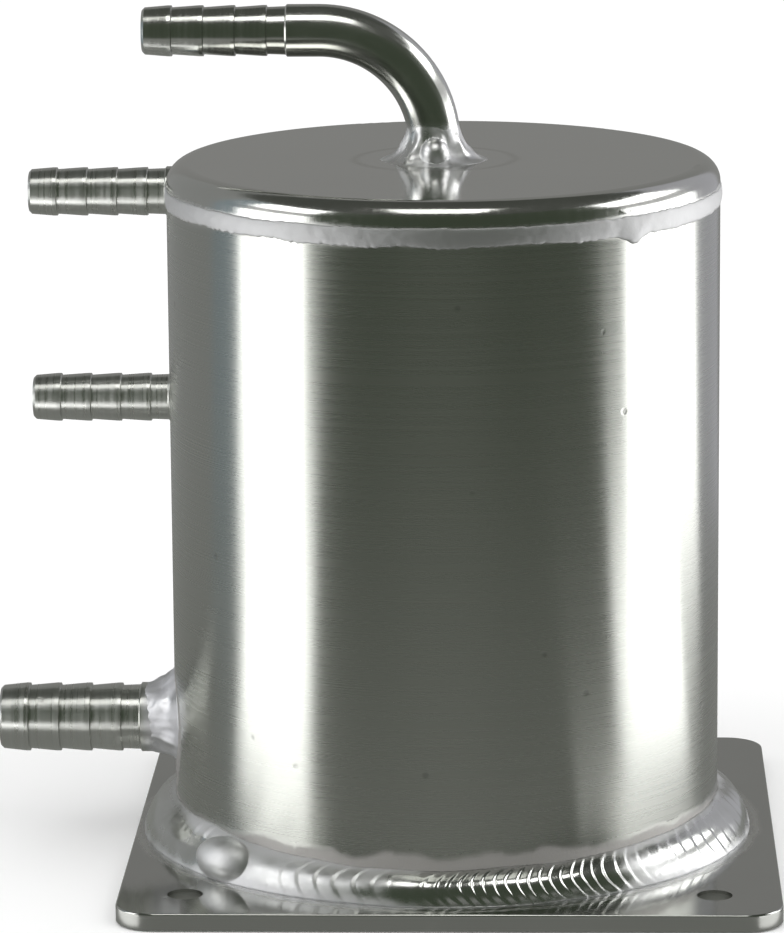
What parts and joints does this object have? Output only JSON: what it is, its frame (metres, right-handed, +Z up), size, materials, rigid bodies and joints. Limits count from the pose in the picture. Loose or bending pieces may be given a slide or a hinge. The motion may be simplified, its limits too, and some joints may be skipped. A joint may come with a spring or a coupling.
{
  "type": "fuel swirl pot",
  "caption": "Welded aluminium fuel swirl pot: brushed round tank on a square bolt-down plate, with barbed straight hose tails at the side and a bent one on top.",
  "frame": {"origin": "middle of the four bolt holes, on the underside of the base plate", "axes": "+Z up along the tank, -Y to the front as pictured, -X the way the hose tails point"},
  "size_m": [0.1448, 0.1192, 0.1575],
  "materials": {
    "plate_sheet": "bright rolled sheet",
    "brushed_wall": "brushed around the axis",
    "cap_sheet": "bright rolled sheet",
    "turned_tube": "bright turned",
    "weld_metal": "rippled, frosted at the edges"
  },
  "bodies": {
    "root": {"base_plate": "plate_sheet", "tank_tube": "brushed_wall", "top_cap": "cap_sheet", "upper_side_pipe": "turned_tube", "middle_side_pipe": "turned_tube", "lower_outlet_pipe": "turned_tube", "top_bent_pipe": "turned_tube", "base_weld": "weld_metal", "cap_weld": "weld_metal", "upper_pipe_weld": "weld_metal", "middle_pipe_weld": "weld_metal", "lower_pipe_weld": "weld_metal", "top_pipe_weld": "weld_metal"}
  },
  "joints": []
}
